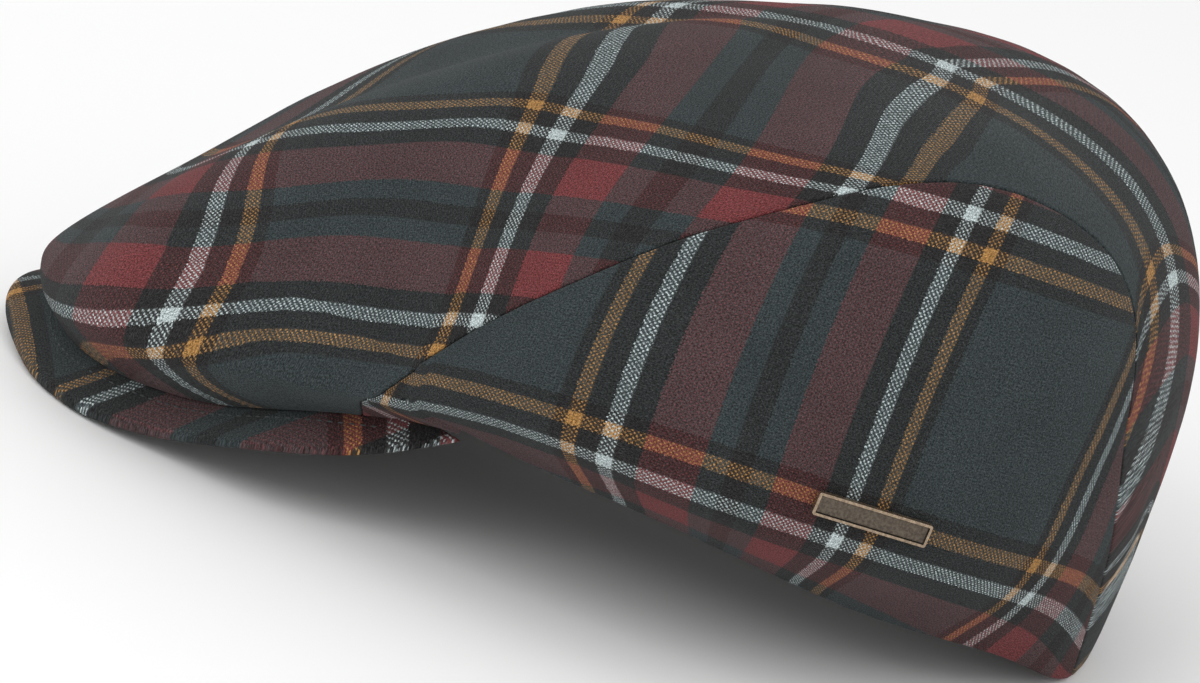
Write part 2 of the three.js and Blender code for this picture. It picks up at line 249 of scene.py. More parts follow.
def lengths(points, axis):
    """Length run along each line of a grid of points, from its first point."""
    run = np.cumsum(np.linalg.norm(np.diff(points, axis=axis), axis=-1), axis=axis)
    start = np.zeros_like(np.take(run, [0], axis=axis))
    return np.concatenate([start, run], axis=axis)


def arc(bearing):
    """Place on the disc's rim."""
    b = np.radians(bearing)
    return np.stack([np.sin(b), np.cos(b)], -1)


def even_steps(curve, count):
    """The same curve of disc places, in steps of equal length over the crown."""
    run = lengths(crown_point(curve * DISC_RIM), 0)
    at = np.linspace(0, run[-1], count)
    return np.stack([np.interp(at, run, curve[:, k]) for k in (0, 1)], -1)


def along_line(line, share):
    """Disc place at this share of the way along a line of them."""
    at = np.linspace(0, 1, len(line))
    return np.stack([np.interp(share, at, line[:, k]) for k in (0, 1)], -1)


def inside_disc(place):
    """The place, drawn back where it lies on or past the disc's rim."""
    far = np.linalg.norm(place, axis=-1, keepdims=True)
    return place * np.minimum(1, DISC_RIM / np.maximum(far, 1e-9))


def shares_at(distances, runs, shares):
    """How far along each row these distances lie. A row without length stays at its start."""
    return np.stack([
        np.interp(d, run, shares) if run[-1] > 0 else shares[0] + 0 * d
        for d, run in zip(distances, runs)
    ])


# The seam between the top panel and the left one, from the visor to the back of the rim
LINE_POINTS = 400
SEAM_FRONT = SEAM_ROWS[0, 0]
SEAM_BACK = SEAM_ROWS[-1, 0]
seam_stations = np.arange(len(SEAM_ROWS))
fine_stations = np.linspace(0, seam_stations[-1], 3000)
seam_bearing = smooth(seam_stations, SEAM_ROWS[:, 0], True, True)(fine_stations)
seam_up = np.maximum(0, smooth(seam_stations, SEAM_ROWS[:, 1], True, True)(fine_stations))
SEAM_LINE = even_steps((1 - seam_up)[:, None] * arc(seam_bearing), LINE_POINTS)
SEAM_LENGTH = lengths(crown_point(SEAM_LINE * DISC_RIM), 0)[-1]


def top_panel_place(across, along):
    """Disc place in the top panel: across from -1 to 1 (left), along from the visor to the back."""
    u = across[..., None]
    v = along[..., None]
    flip = np.array([-1, 1])
    left = along_line(SEAM_LINE, along)

    def between(l, r):
        return (1 + u) / 2 * l + (1 - u) / 2 * r

    front = arc(FRONT - (FRONT - SEAM_FRONT) * across)
    front = front - between(arc(SEAM_FRONT), arc(SEAM_FRONT) * flip)
    back = arc(SEAM_BACK * across) - between(arc(SEAM_BACK), arc(SEAM_BACK) * flip)
    return inside_disc((1 - v) * front + v * back + between(left, left * flip))


# Grid lines lie at these distances from a cloth's edge, in millimetres. They take up no more than
# a share of the cloth, and follow the edge as it rolls in over the first ones.
EDGE_STEPS = np.array([0, 0.12, 0.35, 0.7, 1.15, 1.8, 2.8, 4.4])
EDGE_SHARE = 0.3
EDGE_ROUND = 1.15
EDGE_POWER = 2.4

# Slow and quick waves in the cloth, and the puckers beside a seam. Seven sines added up seldom
# swing past four.
WAVE_SIZES = (46, 17, 9)
WAVE_SEEDS = (3, 4, 5)
SLOW_DEPTH = 0.22
QUICK_DEPTH = 0.1
PUCKER_DEPTH = 0.1
PUCKER_REACH = 5.0
SINES_ADDED = 7
SINES_SWING = 4

# Points closer than this are one, and faces thinner than this are slivers, both in metres.
WELD = 2e-6
SLIVER = 1e-6


def spread(width, count):
    """Distances across a strip of cloth, closer together at its two edges."""
    width = np.asarray(width, float)[..., None]
    near = EDGE_STEPS * np.minimum(1, EDGE_SHARE * width / EDGE_STEPS[-1])
    middle = np.linspace(0, 1, count)[1:-1]
    inner = near[..., -1:] + middle * (width - 2 * near[..., -1:])
    return np.concatenate([near, inner, width - near[..., ::-1]], -1)


def noise(points, size, seed):
    """Smooth waves of about this size that don't repeat, mostly between -1 and 1."""
    dice = np.random.default_rng(seed)
    total = np.zeros(points.shape[:-1])
    for _ in range(SINES_ADDED):
        turn = dice.normal(size=3)
        turn = turn / np.linalg.norm(turn) * dice.uniform(0.7, 1.4)
        total += np.sin(points @ turn * (2 * np.pi / size) + dice.uniform(0, 6.3))
    return total / SINES_SWING


def rolled(distance):
    """How far the cloth's edge rolls in, as a share of half its thickness."""
    q = np.clip(1 - distance / EDGE_ROUND, 0, 1)
    return 1 - (1 - q**EDGE_POWER) ** (1 / EDGE_POWER)


def finished(name, mesh):
    """The built mesh as a piece of the scene."""
    data = bpy.data.meshes.new(name)
    mesh.to_mesh(data)
    mesh.free()
    piece = bpy.data.objects.new(name, data)
    bpy.context.scene.collection.objects.link(piece)
    return piece


def folded_sheet(name, outer, inner, cloth):
    """A sheet of cloth with two faces, made from one grid that is folded in two and sewn shut.

    outer and inner are grids of points in millimetres, cloth the grid's places on the weave."""
    rows, columns = outer.shape[:2]
    mesh = bmesh.new()
    bmesh.ops.create_grid(mesh, x_segments=2 * columns - 1, y_segments=rows - 1, size=0.5)
    points = np.concatenate([outer, inner[:, ::-1]], 1)
    weave = np.concatenate([cloth, cloth[:, ::-1]], 1)
    layer = mesh.loops.layers.uv.new("weave")
    places = {}
    for vert in mesh.verts:
        i = round((vert.co.y + 0.5) * (rows - 1))
        j = round((vert.co.x + 0.5) * (2 * columns - 1))
        places[vert] = weave[i, j]
        vert.co = points[i, j] * MM
    for face in mesh.faces:
        face.smooth = True
        for loop in face.loops:
            loop[layer].uv = places[loop.vert] * UV_PER_MM
    bmesh.ops.remove_doubles(mesh, verts=mesh.verts[:], dist=WELD)
    bmesh.ops.dissolve_degenerate(mesh, edges=mesh.edges, dist=SLIVER)
    bmesh.ops.holes_fill(mesh, edges=mesh.edges, sides=8)
    bmesh.ops.recalc_face_normals(mesh, faces=mesh.faces)
    return finished(name, mesh)


def wool_wall(place, run_across, run_along):
    """The two faces of a crown panel. Each run holds the distances to a pair of its edges."""
    from_side = np.minimum(run_across, run_across[:, -1:] - run_across)
    from_end = np.minimum(run_along, run_along[-1:] - run_along)
    edge = np.minimum(1, np.hypot(rolled(from_side), rolled(from_end)))
    surface = crown_point(place)
    normal = crown_outward(place)
    slow, quick, pucker = [
        noise(surface, size, seed) for size, seed in zip(WAVE_SIZES, WAVE_SEEDS)
    ]
    seam = np.exp(-from_side / PUCKER_REACH)
    wave = SLOW_DEPTH * slow + QUICK_DEPTH * quick
    wave = wave * (1 - seam) + PUCKER_DEPTH * seam * pucker
    half = CLOTH_WALL / 2
    outer = surface + normal * (wave - edge * half)[..., None]
    inner = surface + normal * (wave * (1 - edge) - CLOTH_WALL + edge * half)[..., None]
    inner = np.where((edge >= 1)[..., None], outer, inner)
    return outer, inner


# How the weave lies on the top panel at stations along it: the place on the cloth of the panel's
# middle, how much it changes towards the left seam over the span, and how much that bends. The
# rows were fitted to traced stripes, and rounded. To the right of the middle the cloth
# soon lies straight, and how soon is a share of the span.
PULL_SPAN = 50.0
FAR_START = 0.6
SLOPE_STEP = 0.01
TOP_WARP_ROWS = np.array([
    # station, middle, towards the seam, bend
    (0, -21.5, -13.5, 0),
    (0.12, 24.5, -18.5, -0.9),
    (0.25, 62, -25.3, -2.1),
    (0.4, 86, -30, -2),
    (0.55, 93, -25.6, 0.5),
    (0.7, 89.5, -17.5, 3.6),
    (0.85, 97, -9, 6.4),
    (1, 84, -2, 8.6),
])
TOP_WEFT_ROWS = np.array([
    (0, -171, 10.8, 9.5),
    (0.12, -154, 10.2, 10),
    (0.25, -87.5, 9.9, 10.3),
    (0.4, -26.5, 9.5, 10.3),
    (0.55, 27.5, 9.3, 9.9),
    (0.7, 96, 9.7, 9.2),
    (0.85, 161.5, 10.3, 8.2),
    (1, 249, 11, 7),
])


def pulled(rows, station, distance):
    """The place on the cloth of a point that lies at a station, this far from the middle line."""
    middle, towards, bend = [
        smooth(rows[:, 0], rows[:, k], True, True)(station) for k in (1, 2, 3)
    ]
    share = distance / PULL_SPAN
    return middle + towards * share + bend * share * share


def top_weave(station, distance):
    """Pulled by the tables on the left, while to the right the cloth soon lies straight again."""
    step = SLOPE_STEP
    near = np.maximum(distance, 0)
    far = np.minimum(distance, 0) / PULL_SPAN
    places = []
    along = []
    slopes = []
    for rows in (TOP_WARP_ROWS, TOP_WEFT_ROWS):
        middle = smooth(rows[:, 0], rows[:, 1], True, True)
        inside = np.clip(station, step, 1 - step)
        along.append(middle(inside + step) - middle(inside - step))
        slopes.append(smooth(rows[:, 0], rows[:, 2], True, True)(station))
        places.append(pulled(rows, station, near))
    size = np.hypot(*along) / PULL_SPAN
    straight = (-along[1] / size, along[0] / size)
    settled = far - FAR_START * (np.exp(far / FAR_START) - 1)
    return np.stack([
        place + slope * far + (level - slope) * settled
        for place, slope, level in zip(places, slopes, straight)
    ], -1)


PANEL_ROWS = 150
TOP_COLUMNS = 96
stations = spread(SEAM_LENGTH, PANEL_ROWS) / SEAM_LENGTH
fine_across = np.linspace(-1, 1, 241)
fine_grid = crown_point(top_panel_place(*np.broadcast_arrays(fine_across[None], stations[:, None])))
fine_run = lengths(fine_grid, 1)
distances = spread(fine_run[:, -1], TOP_COLUMNS)
across = shares_at(distances, fine_run, fine_across)
middle_run = np.array([np.interp(0, fine_across, run) for run in fine_run])
station_grid = np.broadcast_to(stations[:, None], across.shape)
place = top_panel_place(across, station_grid)
weave = top_weave(station_grid, distances - middle_run[:, None])
outer, inner = wool_wall(place, distances, lengths(crown_point(place), 0))
top_panel = folded_sheet("wool_top_panel", outer, inner, weave)
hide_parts("top_panel")
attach(top_panel, "root")

# The wool is a two-and-two twill, striped both ways, and the threads of each stripe show on every
# other slanting line. The stripes are listed from the middle of a narrow green band to the middle
# of a wide one, where their order turns back.
GREEN = (0.037, 0.047, 0.049)
BLACK = (0.022, 0.021, 0.021)
RED = (0.165, 0.04, 0.042)
WHITE = (0.47, 0.54, 0.54)
ORANGE = (0.38, 0.2, 0.065)
WARP_STRIPES = [
    (BLACK, 2.5),
    (GREEN, 8),
    (RED, 20),
    (BLACK, 24.9),
    (WHITE, 28.2),
    (BLACK, 32.8),
    (ORANGE, 35.8),
    (BLACK, 38.5),
    (GREEN, 59),
]
WEFT_STRIPES = [
    (BLACK, 4),
    (GREEN, 12),
    (RED, 27.5),
    (BLACK, 34),
    (WHITE, 38.1),
    (BLACK, 43.3),
    (ORANGE, 46.7),
    (BLACK, 50),
    (GREEN, 76.5),
]
TWILL = 1.2
RAGGED = 0.6
WOBBLE = 0.3

# Which yarn is on top: the twill's lines, the threads that cross them and the nap add up. Pale
# yarn is held back by a lean, and stripes of like lightness are felted into one tone.
LINES = 0.62
THREADS = 0.5
NAP = 1.7
LEAN_GAIN = 20
LEAN_MOST = 0.55
SHARE_GAIN = 1.15
MEAN_LEAN = 0.4
FELTED_MOST = 0.78
FELTED_LEAST = 0.14
FELTED_FALL = 3

# Shade between the threads, flecks, clouds across the cloth and pale fibres that lie on it. The
# shade, flecks and clouds are each a gain and a start, and a fibre row a direction and a cover.
SHADE = (0.32, 0.72)
FLECK = (5.0, -1.45)
FLECK_LEAST = 0.35
CLOUD = (0.4, 0.8)
FIBRE = (0.24, 0.25, 0.25)
FIBRE_ROWS = ((0.3, 0.1), (1.2, 0.08), (2.3, 0.1))
FIBRE_STRETCH = (0.6, 5, 1)
FIBRE_SPARSE = 0.7


def tartan_wool():
    """Two striped yarns mixed by the twill, with nap, flecks, loose fibres and a little height."""
    material = bpy.data.materials.new("tartan_wool")
    material.use_nodes = True
    nodes = material.node_tree.nodes
    links = material.node_tree.links
    shader = nodes["Principled BSDF"]

    def new(kind, **settings):
        node = nodes.new(kind)
        for key, value in settings.items():
            setattr(node, key, value)
        return node

    def number(operation, *values, clamp=False):
        node = new("ShaderNodeMath", operation=operation, use_clamp=clamp)
        for k, value in enumerate(values):
            if isinstance(value, (int, float)):
                node.inputs[k].default_value = value
            else:
                links.new(value, node.inputs[k])
        return node.outputs[0]

    def mixed(share, first, second, blend="MIX"):
        """Sockets 0, 6 and 7 are the share and the two colours, and output 2 is the colour."""
        node = new("ShaderNodeMix", data_type="RGBA", blend_type=blend)
        for k, value in ((0, share), (6, first), (7, second)):
            socket = node.inputs[k]
            if isinstance(value, (int, float)):
                socket.default_value = value
            elif isinstance(value, tuple):
                socket.default_value = (*value, 1)
            else:
                links.new(value, socket)
        return node.outputs[2]

    def grey(value):
        """A number as a colour."""
        node = new("ShaderNodeCombineColor")
        for k in range(3):
            links.new(value, node.inputs[k])
        return node.outputs[0]

    def speckle(scale, detail, rough=0.6, turn=0, stretch=(1, 1, 1)):
        """Noise over the cloth, with about this many grains to the millimetre."""
        mapping = new("ShaderNodeMapping")
        mapping.inputs["Rotation"].default_value = [0, 0, turn]
        mapping.inputs["Scale"].default_value = [MM_PER_UV * scale * s for s in stretch]
        links.new(weave_map, mapping.inputs["Vector"])
        node = new("ShaderNodeTexNoise", noise_dimensions="2D")
        node.inputs["Scale"].default_value = 1
        node.inputs["Detail"].default_value = detail
        node.inputs["Roughness"].default_value = rough
        links.new(mapping.outputs[0], node.inputs["Vector"])
        return node.outputs["Fac"]

    def around(value, width):
        """A noise turned into one that swings this far each way round 0."""
        return number("MULTIPLY", number("SUBTRACT", value, 0.5), 2 * width)

    weave_map = new("ShaderNodeUVMap", uv_map="weave").outputs[0]
    split = new("ShaderNodeSeparateXYZ")
    links.new(weave_map, split.inputs[0])
    warp_at = number("MULTIPLY", split.outputs[0], MM_PER_UV)
    weft_at = number("MULTIPLY", split.outputs[1], MM_PER_UV)

    def stripes(at, table):
        """The colour at a place on the cloth. Each row of the table ends one stripe."""
        half = table[-1][1]
        ragged = number("ADD", at, around(speckle(2.2, 2), RAGGED))
        folded = number("PINGPONG", ragged, half)
        ramp = new("ShaderNodeValToRGB")
        ramp.color_ramp.interpolation = "CONSTANT"
        elements = ramp.color_ramp.elements
        elements[0].color = (*table[0][0], 1)
        elements[1].position = table[0][1] / half
        elements[1].color = (*table[1][0], 1)
        for k in range(2, len(table)):
            step = elements.new(table[k - 1][1] / half)
            step.color = (*table[k][0], 1)
        links.new(number("DIVIDE", folded, half), ramp.inputs[0])
        return ramp.outputs[0]

    def lightness(colour):
        node = new("ShaderNodeRGBToBW")
        links.new(colour, node.inputs[0])
        return node.outputs[0]

    warp = stripes(warp_at, WARP_STRIPES)
    weft = stripes(weft_at, WEFT_STRIPES)
    wobble = around(speckle(0.9, 2), WOBBLE)
    slant = number("ADD", number("ADD", warp_at, weft_at), wobble)
    counter = number("ADD", number("SUBTRACT", warp_at, weft_at), wobble)
    lines = number("SINE", number("MULTIPLY", slant, 2 * math.pi / TWILL))
    threads = number("SINE", number("MULTIPLY", counter, 2 * math.pi / TWILL))
    nap = speckle(2.6, 3, 0.7)
    over = number("ADD", number("MULTIPLY", lines, LINES), number("MULTIPLY", threads, THREADS))
    over = number("ADD", over, around(nap, NAP))

    contrast = number("SUBTRACT", lightness(warp), lightness(weft))
    lean = number("MULTIPLY", contrast, LEAN_GAIN)
    lean = number("MAXIMUM", number("MINIMUM", lean, LEAN_MOST), -LEAN_MOST)
    share = number("SUBTRACT", number("MULTIPLY_ADD", over, SHARE_GAIN, 0.5), lean, clamp=True)
    mean = number("MULTIPLY_ADD", lean, -MEAN_LEAN, 0.5)
    apart = number("ABSOLUTE", contrast)
    felted = number("MULTIPLY_ADD", apart, -FELTED_FALL, FELTED_MOST, clamp=True)
    felted = number("MAXIMUM", felted, FELTED_LEAST)
    colour = mixed(felted, mixed(share, weft, warp), mixed(mean, weft, warp))
    gap = number("MULTIPLY_ADD", number("ABSOLUTE", over), *SHADE, clamp=True)
    colour = mixed(1.0, colour, grey(gap), "MULTIPLY")

    fleck = number("MULTIPLY_ADD", speckle(2.2, 3, 0.85), *FLECK)
    fleck = number("MAXIMUM", fleck, FLECK_LEAST)
    colour = mixed(1.0, colour, grey(fleck), "MULTIPLY")
    cloud = number("MULTIPLY_ADD", speckle(0.05, 2), *CLOUD)
    colour = mixed(1.0, colour, grey(cloud), "MULTIPLY")
    for turn, amount in FIBRE_ROWS:
        strands = speckle(1.1, 1, 0.5, turn, FIBRE_STRETCH)
        fibre = number("GREATER_THAN", strands, FIBRE_SPARSE)
        colour = mixed(number("MULTIPLY", fibre, amount), colour, FIBRE)
    links.new(colour, shader.inputs["Base Color"])

    height = number("ADD", number("MULTIPLY", number("ABSOLUTE", lines), 0.5), nap)
    bump = new("ShaderNodeBump")
    bump.inputs["Strength"].default_value = 0.6
    bump.inputs["Distance"].default_value = 0.0003
    links.new(height, bump.inputs["Height"])
    links.new(bump.outputs[0], shader.inputs["Normal"])
    shader.inputs["Roughness"].default_value = 1.0
    shader.inputs["Specular IOR Level"].default_value = 0.08
    shader.inputs["Sheen Weight"].default_value = 0.06
    shader.inputs["Sheen Roughness"].default_value = 0.5
    return material


wool = tartan_wool()
top_panel.data.materials.append(wool)

# Each side panel is a long lens of the same wool, sewn to the top panel along one curved seam
# and turned in along the rim. Its stripes run up from the rim, and the two sides are a pair. The
# rows are like the top panel's, but start at the rim.
SIDE_WARP_ROWS = np.array([
    # station, at the rim, towards the seam, bend
    (0, -101.3, -4.5, 2.2),
    (0.2, -54, -1.4, 1.2),
    (0.4, -11, 1.3, -0.1),
    (0.6, 44.8, 5.3, -1),
    (0.8, 99, 11, -1.1),
    (1, 138.6, 16.2, -1.4),
])
SIDE_WEFT_ROWS = np.array([
    (0, 14.3, 64.5, -0.5),
    (0.2, 11.4, 62, -1.1),
    (0.4, 3.4, 57.4, -1.8),
    (0.6, 6.1, 56, -2.5),
    (0.8, 15.9, 53.6, -3.5),
    (1, 26.8, 52.7, -4.1),
])
RIM_LINE = even_steps(arc(np.linspace(SEAM_FRONT, SEAM_BACK, 2000)), LINE_POINTS)
SIDE_COLUMNS = 60


def side_panel_place(along, up):
    """Disc place in a side panel: along from the visor to the back, up from the rim to the seam."""
    v = up[..., None]
    return inside_disc((1 - v) * along_line(RIM_LINE, along) + v * along_line(SEAM_LINE, along))


fine_up = np.linspace(0, 1, 161)
fine_grid = crown_point(side_panel_place(*np.broadcast_arrays(stations[:, None], fine_up[None])))
fine_run = lengths(fine_grid, 1)
distances = spread(fine_run[:, -1], SIDE_COLUMNS)
up = shares_at(distances, fine_run, fine_up)
station_grid = np.broadcast_to(stations[:, None], up.shape)
place = side_panel_place(station_grid, up)
weave = np.stack([
    pulled(SIDE_WARP_ROWS, station_grid, distances),
    pulled(SIDE_WEFT_ROWS, station_grid, distances),
], -1)
outer, inner = wool_wall(place, distances, lengths(crown_point(place), 0))
for name, flip in (("left", 1), ("right", -1)):
    turn = np.array([flip, 1, 1])
    side_panel = folded_sheet("wool_side_panel_" + name, outer * turn, inner * turn, weave)
    side_panel.data.materials.append(wool)
    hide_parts("side_panel_" + name)
    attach(side_panel, "root")

# The visor is a stiff board under the front of the crown, covered in the same wool on both
# faces and curved down at its sides. Only a narrow strip of it shows. Its cloth is cut askew.
VISOR_TURN = 27.0
VISOR_WARP = -34.0
VISOR_WEFT = -16.0
VISOR_SPREAD = 0.45
VISOR_EDGE_ROUND = 1.9
VISOR_COLUMNS = 20
CORNER_STRETCH = 3.0


def on_left(bearing):
    """The left side's bearing that matches one on either side."""
    return np.where(bearing > FRONT, 2 * FRONT - bearing, bearing)


def visor_faces(bearing, out):
    """Places on the visor's underside and its thickness there, from root (out 0) to edge (out 1)."""
    side = on_left(bearing)
    start = opening_reach(side)
    reach = start + out * (visor_edge_reach(side) - start)
    b = np.radians(bearing)
    x = HALF_WIDTH * reach * np.sin(b)
    y = APEX_Y + HALF_LENGTH * reach * np.cos(b)
    under = visor_underside(side, out)
    return x, y, under, visor_thickness(side)


corner_end = VISOR_CORNER + CORNER_STRETCH
visor_bearings = np.concatenate([
    np.linspace(VISOR_CORNER, corner_end, 7)[:-1],
    np.linspace(corner_end, 2 * FRONT - corner_end, 120),
    np.linspace(2 * FRONT - corner_end, 2 * FRONT - VISOR_CORNER, 7)[1:],
])
fine_out = np.linspace(0, 1, 41)
x, y, z, wall = visor_faces(*np.broadcast_arrays(visor_bearings[:, None], fine_out[None]))
fine_run = lengths(np.stack([x, y, z], -1), 1)
distances = spread(fine_run[:, -1], VISOR_COLUMNS)
out = shares_at(distances, fine_run, fine_out)
bearing = np.broadcast_to(visor_bearings[:, None], out.shape)
x, y, under, wall = visor_faces(bearing, out)
from_edge = np.minimum(distances, distances[:, -1:] - distances)
q = np.clip(1 - from_edge / VISOR_EDGE_ROUND, 0, 1)
roll = (1 - np.sqrt(1 - q * q)) * wall / 2
drop = (under[len(under) // 2] - under).clip(0)
spread_x = x + VISOR_SPREAD * np.sign(x) * drop
turn = math.radians(VISOR_TURN)
weave = np.stack([
    spread_x * math.cos(turn) + y * math.sin(turn) + VISOR_WARP,
    spread_x * math.sin(turn) - y * math.cos(turn) + VISOR_WEFT,
], -1)
outer = np.stack([x, y, under + wall - roll], -1)
inner = np.stack([x, y, under + roll], -1)
visor = folded_sheet("wool_visor", outer, inner, weave)
visor.data.materials.append(wool)
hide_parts("visor")
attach(visor, "root")

# A line of small stitches runs round the visor, just outside the crown's lower edge. Each stitch
# is a short rounded thread that is sunk half into the cloth.
STITCH_OUT = 2.2
STITCH_LENGTH = 1.7
STITCH_STEP = 2.6
STITCH_WIDTH = 0.5
STITCH_START = 127.0
STITCH_COLOUR = (0.037, 0.041, 0.042)
STITCH_DARK = 0.5
STITCH_PALE = 2.2


def stitch_line():
    """Places on the visor's upper face, in millimetres, and the line's direction there."""
    bearing = np.linspace(STITCH_START, 2 * FRONT - STITCH_START, 600)
    side = on_left(bearing)
    start = opening_reach(side)
    end = visor_edge_reach(side)
    shown = visor_show(side) * VISOR_SHOW
    share = 1 - (shown - STITCH_OUT) / ((end - start) * HALF_LENGTH)
    x, y, under, wall = visor_faces(bearing, share)
    line = np.stack([x, y, under + wall], -1)
    run = lengths(line, 0)
    at = np.arange(0, run[-1], STITCH_STEP)
    line = np.stack([np.interp(at, run, line[:, k]) for k in range(3)], -1)
    return line[1:-1], line[2:] - line[:-2]


def visor_stitches():
    mesh = bmesh.new()
    for place, direction in zip(*stitch_line()):
        along = direction / np.linalg.norm(direction)
        aside = np.cross([0, 0, 1], along)
        aside = aside / np.linalg.norm(aside)
        axes = np.stack([along, aside, np.cross(along, aside)], 1)
        made = bmesh.ops.create_icosphere(mesh, subdivisions=1, radius=0.5)["verts"]
        size = np.array([STITCH_LENGTH, STITCH_WIDTH, STITCH_WIDTH])
        for vert in made:
            vert.co = (place + axes @ (np.array(vert.co) * size)) * MM
    for face in mesh.faces:
        face.smooth = True
    return finished("visor_stitches", mesh)


def thread():
    """A dull thread, lighter and darker along its length."""
    material = bpy.data.materials.new("thread")
    material.use_nodes = True
    nodes = material.node_tree.nodes
    shader = nodes["Principled BSDF"]
    place = nodes.new("ShaderNodeTexCoord")
    noise_node = nodes.new("ShaderNodeTexNoise")
    noise_node.inputs["Scale"].default_value = 900
    ramp = nodes.new("ShaderNodeValToRGB")
    ramp.color_ramp.elements[0].color = (*(STITCH_DARK * c for c in STITCH_COLOUR), 1)
    ramp.color_ramp.elements[1].color = (*(STITCH_PALE * c for c in STITCH_COLOUR), 1)
    material.node_tree.links.new(place.outputs["Object"], noise_node.inputs["Vector"])
    material.node_tree.links.new(noise_node.outputs["Fac"], ramp.inputs[0])
    material.node_tree.links.new(ramp.outputs[0], shader.inputs["Base Color"])
    shader.inputs["Roughness"].default_value = 0.8
    return material


stitches = visor_stitches()
stitches.data.materials.append(thread())
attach(stitches, "root")

# The badge is a small cast plate with a raised border and a bare field, in antique bronze: worn
# pale on its border, tarnished in its field, and dark on the step between them.
BADGE_LENGTH = 27.0
BADGE_WIDTH = 5.3
BADGE_THICK = 1.6
BADGE_CORNER = 0.6
BADGE_BORDER = 0.7
BADGE_STEP = 0.12
BADGE_RECESS = 0.5
BADGE_EDGE = 0.16
BADGE_OFF_CLOTH = 0.3
BADGE_BEARING = 70.0
BADGE_UP = 0.2125
BADGE_PLACE = (1 - BADGE_UP) * arc(BADGE_BEARING)
BADGE_TURN = math.radians(-7.6)
BADGE_SHARP = 0.6
BADGE_FLAT_AREA = 6


def rounded(mesh, edges, offset, segments):
    """Rounds the edges off by a bevel."""
    bmesh.ops.bevel(
        mesh, geom=edges, offset=offset, segments=segments,
        profile=0.5, affect="EDGES", material=-1,
    )


def badge_plate():
    """The plate, with its border, step and field in material slots 0, 1 and 2."""
    mesh = bmesh.new()
    bmesh.ops.create_cube(mesh, size=1)
    bmesh.ops.translate(mesh, verts=mesh.verts, vec=(0, 0, 0.5))
    bmesh.ops.scale(mesh, verts=mesh.verts, vec=(BADGE_LENGTH, BADGE_WIDTH, BADGE_THICK))
    field = max(mesh.faces, key=lambda face: face.calc_center_median().z)
    bmesh.ops.inset_region(mesh, faces=[field], thickness=BADGE_BORDER, use_even_offset=True)
    step = bmesh.ops.inset_region(
        mesh, faces=[field], thickness=BADGE_STEP, depth=-BADGE_RECESS, use_even_offset=True,
    )
    for face in step["faces"]:
        face.material_index = 1
    field.material_index = 2
    upright = [e for e in mesh.edges if abs(e.verts[0].co.z - e.verts[1].co.z) > BADGE_THICK / 2]
    rounded(mesh, upright, BADGE_CORNER, 6)
    top = [
        e for e in mesh.edges
        if min(v.co.z for v in e.verts) > BADGE_THICK - 0.01 and e.calc_face_angle(0) > BADGE_SHARP
    ]
    rounded(mesh, top, BADGE_EDGE, 3)
    for face in mesh.faces:
        face.smooth = len(face.verts) == 4 and face.calc_area() < BADGE_FLAT_AREA
    outward = crown_outward(BADGE_PLACE)
    level = np.cross([0, 0, 1], outward)
    level = level / np.linalg.norm(level)
    along = level * math.cos(BADGE_TURN) + np.cross(outward, level) * math.sin(BADGE_TURN)
    origin = crown_point(BADGE_PLACE) + outward * BADGE_OFF_CLOTH
    axes = np.stack([along, np.cross(outward, along), outward])
    for vert in mesh.verts:
        vert.co = (origin + np.array(vert.co) @ axes) * MM
    return finished("bronze_badge", mesh)


def bronze(name, dark, pale, roughness):
    """Metal that is mottled by tarnish, between a dark and a pale tone."""
    material = bpy.data.materials.new(name)
    material.use_nodes = True
    nodes = material.node_tree.nodes
    links = material.node_tree.links
    shader = nodes["Principled BSDF"]
    place = nodes.new("ShaderNodeTexCoord")
    grain = nodes.new("ShaderNodeTexNoise")
    grain.inputs["Scale"].default_value = 1500
    grain.inputs["Detail"].default_value = 5
    grain.inputs["Roughness"].default_value = 0.65
    links.new(place.outputs["Object"], grain.inputs["Vector"])
    ramp = nodes.new("ShaderNodeValToRGB")
    ramp.color_ramp.elements[0].position = 0.35
    ramp.color_ramp.elements[0].color = (*dark, 1)
    ramp.color_ramp.elements[1].position = 0.65
    ramp.color_ramp.elements[1].color = (*pale, 1)
    links.new(grain.outputs["Fac"], ramp.inputs[0])
    links.new(ramp.outputs[0], shader.inputs["Base Color"])
    shader.inputs["Metallic"].default_value = 0.9
    shader.inputs["Roughness"].default_value = roughness
    bump = nodes.new("ShaderNodeBump")
    bump.inputs["Strength"].default_value = 0.2
    bump.inputs["Distance"].default_value = 0.00004
    links.new(grain.outputs["Fac"], bump.inputs["Height"])
    links.new(bump.outputs[0], shader.inputs["Normal"])
    return material


badge = badge_plate()
for metal in (
    bronze("bronze_border", (0.22, 0.165, 0.115), (0.46, 0.35, 0.25), 0.38),
    bronze("bronze_step", (0.012, 0.01, 0.009), (0.03, 0.025, 0.02), 0.6),
    bronze("bronze_field", (0.075, 0.062, 0.05), (0.16, 0.13, 0.1), 0.5),
):
    badge.data.materials.append(metal)
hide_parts("badge")
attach(badge, "root")

# A pale floor, soft studio lights and the camera. The camera looks at the cap's left side from
# a little behind and above, and is rolled. Its picture is in pixels, and places in metres.
FLOOR_SIZE = 14
FLOOR_DROP = 0.0002
PAPER = (0.95, 0.95, 0.95, 1)
bpy.ops.mesh.primitive_grid_add(x_subdivisions=2, y_subdivisions=2, size=FLOOR_SIZE)
floor = bpy.context.object
floor.location.z = -FLOOR_DROP
floor.name = "floor"
paper = bpy.data.materials.new("floor_paper")
paper.use_nodes = True
paper_shader = paper.node_tree.nodes["Principled BSDF"]
paper_shader.inputs["Base Color"].default_value = PAPER
paper_shader.inputs["Roughness"].default_value = 0.9
floor.data.materials.append(paper)

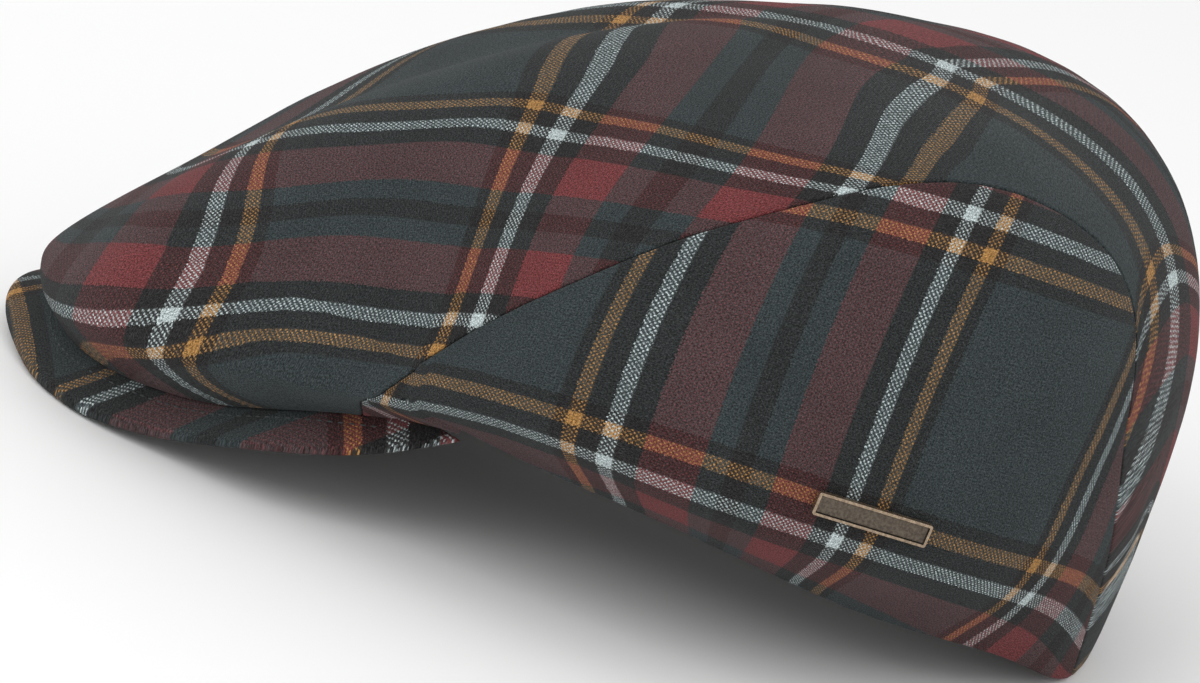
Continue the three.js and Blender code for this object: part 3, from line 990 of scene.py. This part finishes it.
world = bpy.data.worlds.new("studio")
bpy.context.scene.world = world
world.use_nodes = True
background = world.node_tree.nodes["Background"]
background.inputs["Color"].default_value = (1, 1, 1, 1)
background.inputs["Strength"].default_value = 0.85
bpy.context.scene.view_settings.view_transform = "Standard"

CAMERA_AZIMUTH = math.radians(100.6)
CAMERA_HEIGHT = math.radians(17.33)
CAMERA_ROLL = math.radians(14.82)
CAMERA_DISTANCE = 1.3
AIM = np.array([0, 0, 0.055])
PICTURE_WIDTH = 1200
PICTURE_HEIGHT = 683
FOCAL_PIXELS = 5633
AIM_PIXEL = (604.2, 266.3)
SENSOR_WIDTH = 36
LIGHT_DISTANCE = 1.6
back = np.array([
    math.sin(CAMERA_AZIMUTH) * math.cos(CAMERA_HEIGHT),
    -math.cos(CAMERA_AZIMUTH) * math.cos(CAMERA_HEIGHT),
    math.sin(CAMERA_HEIGHT),
])
right = np.array([math.cos(CAMERA_AZIMUTH), math.sin(CAMERA_AZIMUTH), 0])
above = np.cross(back, right)
camera_x = right * math.cos(CAMERA_ROLL) + above * math.sin(CAMERA_ROLL)
camera_y = above * math.cos(CAMERA_ROLL) - right * math.sin(CAMERA_ROLL)


def placed(location, x_axis, y_axis, z_axis):
    """Where a thing stands, and which way its three axes point."""
    matrix = np.eye(4)
    matrix[:3, 0] = x_axis
    matrix[:3, 1] = y_axis
    matrix[:3, 2] = z_axis
    matrix[:3, 3] = location
    return Matrix(matrix.tolist())


camera_data = bpy.data.cameras.new("camera")
camera = bpy.data.objects.new("camera", camera_data)
bpy.context.scene.collection.objects.link(camera)
camera.matrix_world = placed(AIM + back * CAMERA_DISTANCE, camera_x, camera_y, back)
camera_data.sensor_width = SENSOR_WIDTH
camera_data.lens = SENSOR_WIDTH * FOCAL_PIXELS / PICTURE_WIDTH
camera_data.shift_x = (PICTURE_WIDTH / 2 - AIM_PIXEL[0]) / PICTURE_WIDTH
camera_data.shift_y = (AIM_PIXEL[1] - PICTURE_HEIGHT / 2) / PICTURE_WIDTH
camera_data.clip_end = 100
bpy.context.scene.camera = camera

for name, towards, power, size in (
    ("key", back * 1.1 + above * 0.7 - right * 0.7, 7, 1.0),
    ("fill", back * 1.0 + above * 0.25 + right * 1.2, 2, 1.2),
    ("top", np.array([0, 0, 1.0]), 1.5, 1.4),
):
    towards = towards / np.linalg.norm(towards)
    light_data = bpy.data.lights.new(name, "AREA")
    light_data.energy = power
    light_data.size = size
    light = bpy.data.objects.new(name, light_data)
    bpy.context.scene.collection.objects.link(light)
    sideways = np.cross([0.1, 1, 0], towards)
    sideways = sideways / np.linalg.norm(sideways)
    upwards = np.cross(towards, sideways)
    light.matrix_world = placed(AIM + towards * LIGHT_DISTANCE, sideways, upwards, towards)
